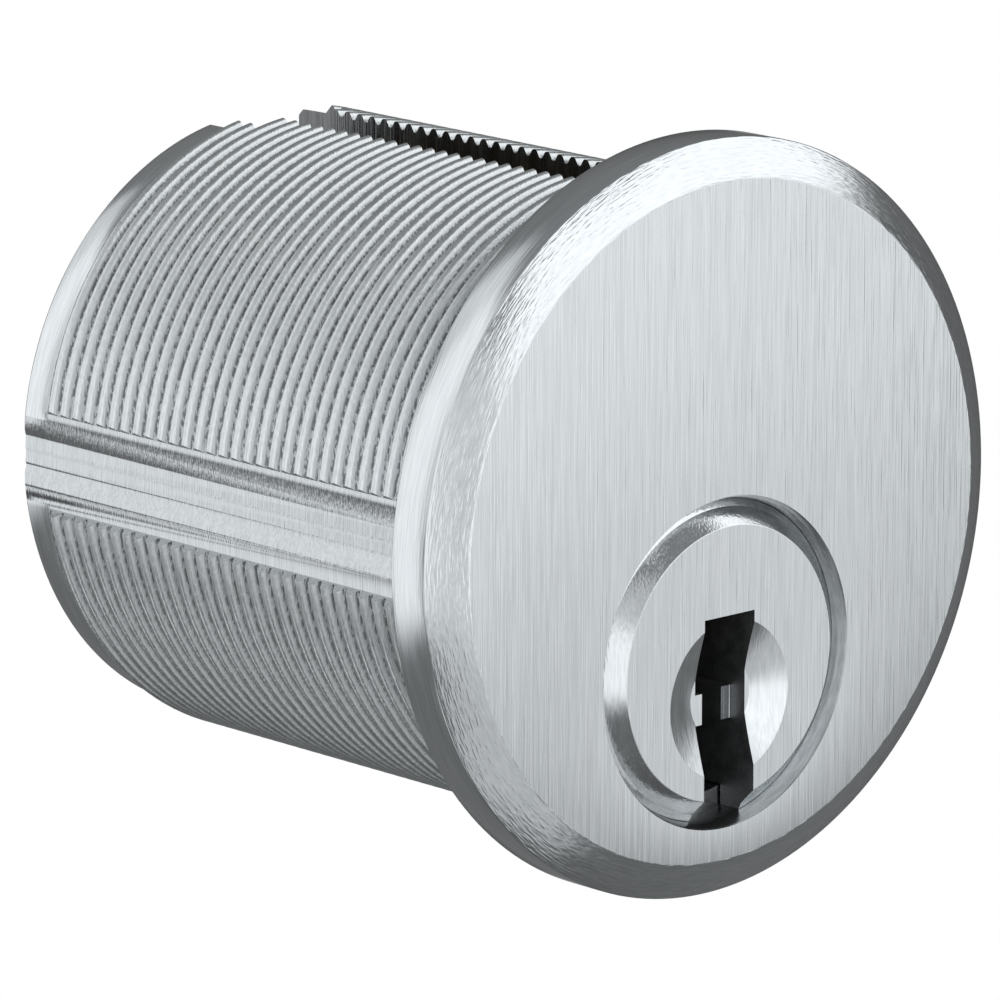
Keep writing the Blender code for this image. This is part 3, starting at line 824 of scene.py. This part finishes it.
# %% The white background
WHITE = (1.0, 1.0, 1.0, 1.0)
STUDIO_TINT = (0.97, 0.99, 1.0, 1.0)
SWEEP_PLACE = (43.0, -13.0, 7.0, 6.0, 3.0)
white = put(tree, "ShaderNodeBackground", WHITE, 1.0)
light = put(tree, "ShaderNodeBackground", STUDIO_TINT, light_level)
ray = put(tree, "ShaderNodeLightPath").outputs
mirrored = maths(tree, "MAXIMUM", ray["Is Glossy Ray"], ray["Is Transmission Ray"])
sweep = maths(tree, "MULTIPLY", mirrored, box_mask(SWEEP_PLACE))
shown = maths(tree, "MAXIMUM", ray["Is Camera Ray"], sweep)
choice = put(tree, "ShaderNodeMixShader", shown, light.outputs[0], white.outputs[0])
put(tree, "ShaderNodeOutputWorld", choice.outputs[0])
print("world nodes:", len(tree.nodes))

# %% [markdown]
# A satin finish is thousands of fine parallel scratches. Noise that is stretched along the scratches gives
# them: fine lines, and broader bands that vary from place to place. On the flat faces they run upright,
# so the noise is squeezed across and drawn out along Z.

# %% A node group for upright scratches
LINE_SIZE = 1.0
LINE_DETAIL = 1.5
BAND_SIZE = 0.21
BAND_DETAIL = 2.0
NOISE_LOW = 0.30
NOISE_HIGH = 0.70


def scratches_at(group, position):
    """Fine lines and broader bands from stretched noise, read at a position and given out."""
    found = []
    for size, detail in ((LINE_SIZE, LINE_DETAIL), (BAND_SIZE, BAND_DETAIL)):
        noise = put(group, "ShaderNodeTexNoise", position, noise_dimensions="3D")
        noise.inputs["Scale"].default_value = size
        noise.inputs["Detail"].default_value = detail
        found.append(fade(group, noise.outputs[0], NOISE_LOW, NOISE_HIGH))
    put(group, "NodeGroupOutput", *found)


def place_on_piece(group):
    """The place on the piece, as X, Y and Z sockets."""
    place = put(group, "ShaderNodeTexCoord")
    return put(group, "ShaderNodeSeparateXYZ", place.outputs["Object"]).outputs


upright_group, given = new_group("Upright scratches", ("Across", "Along"), ("Lines", "Bands"))
parts = place_on_piece(upright_group)
scaled = []
for axis, scale in (("X", "Across"), ("Y", "Across"), ("Z", "Along")):
    scaled.append(maths(upright_group, "MULTIPLY", parts[axis], given[scale]))
scratches_at(upright_group, put(upright_group, "ShaderNodeCombineXYZ", *scaled).outputs[0])
print(upright_group.name, "group with", len(upright_group.nodes), "nodes")

# %% [markdown]
# On turned surfaces the scratches follow the turning. So the noise is read at a point made of the direction
# around the axis, the distance from it and the place along it. That has no seam anywhere around.

# %% A node group for turned scratches
scales = ("Axis height", "Around", "Outwards", "Along")
turned_group, given = new_group("Turned scratches", scales, ("Lines", "Bands"))
parts = place_on_piece(turned_group)
flat_z = maths(turned_group, "SUBTRACT", parts["Z"], given["Axis height"])
square_x = maths(turned_group, "POWER", parts["X"], 2.0)
square_z = maths(turned_group, "POWER", flat_z, 2.0)
radius = maths(turned_group, "SQRT", maths(turned_group, "ADD", square_x, square_z))
position = []
for side in (parts["X"], flat_z):
    direction = maths(turned_group, "DIVIDE", side, radius)
    position.append(maths(turned_group, "MULTIPLY", direction, given["Around"]))
outwards = maths(turned_group, "MULTIPLY", radius, given["Outwards"])
along = maths(turned_group, "MULTIPLY", parts["Y"], given["Along"])
position.append(maths(turned_group, "ADD", outwards, along))
scratches_at(turned_group, put(turned_group, "ShaderNodeCombineXYZ", *position).outputs[0])
print(turned_group.name, "group with", len(turned_group.nodes), "nodes")

# %% [markdown]
# All satin surfaces share one recipe: a metal whose colour and roughness shift a little from scratch to
# scratch, with the scratches as bump. What differs is which way they run, how fine they are and how deep.
# The flat faces also get the Anisotropic setting, which spreads the shine across the scratches, with a
# tangent that stands upright as they do.

# %% The satin recipe
BAND_SHARE = 0.3


def upright_lines(across, along):
    """Upright scratches: how fine they are sideways, and how fine along their run."""
    return upright_group, across, along


def turned_lines(around, outwards, along, axis_height=0.0):
    """Turned scratches: how fine they are around the axis, away from it and along it."""
    return turned_group, axis_height, around, outwards, along


def satin(title, lines, tones, rough, depth, stretch=0.0):
    """Fills a finish with scratched metal, from a dark tone to a light one and smooth to rough."""
    tree = finish[title].node_tree
    shader = tree.nodes["Principled BSDF"]
    shader.inputs["Metallic"].default_value = 1.0
    group, *scales = lines
    marks = put(tree, "ShaderNodeGroup", *scales, node_tree=group).outputs
    share = mixed(tree, "FLOAT", BAND_SHARE, marks["Lines"], marks["Bands"])
    colour = mixed(tree, "RGBA", share, (*tones[0], 1.0), (*tones[1], 1.0))
    tree.links.new(colour, shader.inputs["Base Color"])
    tree.links.new(fade(tree, marks["Bands"], 0.0, 1.0, *rough), shader.inputs["Roughness"])
    relief = put(tree, "ShaderNodeBump", 1.0, depth)
    tree.links.new(marks["Lines"], relief.inputs["Height"])
    tree.links.new(relief.outputs[0], shader.inputs["Normal"])
    if stretch:
        shader.inputs["Anisotropic"].default_value = stretch
        upwards = put(tree, "ShaderNodeCombineXYZ", 0.0, 0.0, 1.0)
        tangent = put(
            tree, "ShaderNodeVectorTransform", upwards.outputs[0],
            vector_type="VECTOR", convert_from="OBJECT", convert_to="WORLD",
        )
        tree.links.new(tangent.outputs[0], shader.inputs["Tangent"])
    return tree, shader, marks, colour


print("bands make up", BAND_SHARE, "of the tone, and the lines the rest")

# %% [markdown]
# The visible faces are satin chrome over brass, and every tool leaves its own mark. The face is brushed
# last, upright, over head and plug together. The bevel, the rim and the bores show turning. The groove, the
# ring and the dish keep fine upright lines. The slot and the keyway are painted dark, as painted shade
# inside these deep recesses.

# %% Satin finishes of the shell and the plug
CHROME = ((0.64, 0.665, 0.68), (0.80, 0.825, 0.84))
MILLED = ((0.50, 0.52, 0.53), (0.66, 0.68, 0.695))
# The bore tones are a darker copy of the metal: painted shade in the holes and on the recess's mouth.
SHADED_BORE = ((0.36, 0.37, 0.375), (0.50, 0.51, 0.515))
# The slot and keyway tones are painted dark: painted shade inside these recesses.
SHADED_SLOT = ((0.13, 0.133, 0.137), (0.20, 0.203, 0.207))
SHADED = ((0.20, 0.205, 0.21), (0.26, 0.265, 0.27))
satin("brushed face", upright_lines(15000, 240), CHROME, (0.24, 0.30), 0.000009, 0.5)
satin("turned bevel", turned_lines(22, 12000, 0), CHROME, (0.12, 0.18), 0.000010)
satin("turned rim", turned_lines(9, 12000, 12000), CHROME, (0.14, 0.20), 0.0000025)
satin("milled groove", upright_lines(12000, 400), MILLED, (0.10, 0.14), 0.000006)
satin("milled slot", upright_lines(9000, 500), SHADED_SLOT, (0.20, 0.30), 0.000008)
satin("turned bore", turned_lines(9, 9000, 9000, PLUG_Z), SHADED_BORE, (0.20, 0.30), 0.000004)
satin("turned ring", upright_lines(10000, 900), CHROME, (0.10, 0.16), 0.000004)
satin("turned dish", upright_lines(9000, 600), CHROME, (0.14, 0.20), 0.000002)
satin("broached keyway", upright_lines(8000, 8000), SHADED, (0.45, 0.55), 0.000003)
print("satin finishes done")

# %% [markdown]
# The thread's root is painted darker than its crest, as painted shade in the hollow between the teeth. The
# scratch lines break a narrow band of it into short upright ticks. The distance from the axis tells the root
# from the crest. It gives one wide, faint painted shade and one narrow band of painted shade for the ticks.

# %% The thread and the painted shade in its root
THREADED = ((0.64, 0.665, 0.675), (0.82, 0.845, 0.855))
# The dark tone of the painted shade in the thread's root.
ROOT_SHADE_TONE = (0.09, 0.095, 0.10, 1.0)
SHADE_RISE = 0.00036
SHADE_STRENGTH = 0.30
TICK_FROM = 0.00005
TICK_TO = 0.00024
TICK_STRENGTH = 0.85
TICK_LOW = 0.38
TICK_HIGH = 0.50
recipe = ("cut thread", upright_lines(9000, 2500), THREADED, (0.28, 0.36), 0.000006)
tree, shader, marks, colour = satin(*recipe)
place = put(tree, "ShaderNodeTexCoord")
from_axis = put(tree, "ShaderNodeVectorMath", place.outputs["Object"], (1.0, 0.0, 1.0), operation="MULTIPLY")
distance = put(tree, "ShaderNodeVectorMath", from_axis.outputs[0], operation="LENGTH").outputs["Value"]


def near_root(start, end, strength):
    """A mask of painted shade that fades from the first height over the root to the second."""
    return fade(tree, distance, root_radius + start, root_radius + end, strength, 0.0, "SMOOTHSTEP")


# Painted shade near the root: a wide faint fade, and a narrow band broken into ticks by the lines.
broken = fade(tree, marks["Lines"], TICK_LOW, TICK_HIGH)
ticks = maths(tree, "MULTIPLY", near_root(TICK_FROM, TICK_TO, TICK_STRENGTH), broken)
painted_root_shade = maths(tree, "MAXIMUM", near_root(0.0, SHADE_RISE, SHADE_STRENGTH), ticks)
tree.links.new(mixed(tree, "RGBA", painted_root_shade, colour, ROOT_SHADE_TONE), shader.inputs["Base Color"])
print("thread finish done")

# %% [markdown]
# The smaller pieces keep the model's own solids, with a finish each: tumbled steel for the cam, bright
# zinc for its screws, brass for the key pins and the cover, and nickel silver for the driver pins. The
# wound springs get the finish of drawn wire.

# %% Finishes of the inner and rear pieces
STEEL = ((0.50, 0.50, 0.50), (0.66, 0.66, 0.66))
ZINC = ((0.55, 0.56, 0.60), (0.70, 0.71, 0.74))
BRASS = ((0.68, 0.51, 0.25), (0.84, 0.66, 0.36))
NICKEL_SILVER = ((0.66, 0.63, 0.58), (0.78, 0.75, 0.69))
WIRE = ((0.45, 0.45, 0.47), (0.60, 0.60, 0.62))
satin("tumbled cam", upright_lines(3000, 3000), STEEL, (0.34, 0.46), 0.000008)
satin("zinc screw", upright_lines(5000, 5000), ZINC, (0.24, 0.34), 0.000003)
satin("turned brass", turned_lines(20, 4000, 9000), BRASS, (0.22, 0.32), 0.000002)
satin("turned nickel silver", turned_lines(20, 4000, 9000), NICKEL_SILVER, (0.2, 0.3), 0.000002)
satin("spring wire", upright_lines(9000, 9000), WIRE, (0.25, 0.35), 0.000001)
node_finish = {
    "cam": "tumbled cam",
    "cam_screw": "zinc screw",
    "chamber_cover": "turned brass",
    "key_pin": "turned brass",
    "driver_pin": "turned nickel silver",
}
finished = 0
for name, node in nodes.items():
    family = name.rstrip("_0123456789")
    if family in node_finish:
        node.data.materials.clear()
        node.data.materials.append(finish[node_finish[family]])
        finished += 1
print("solids with a finish of their own:", finished)
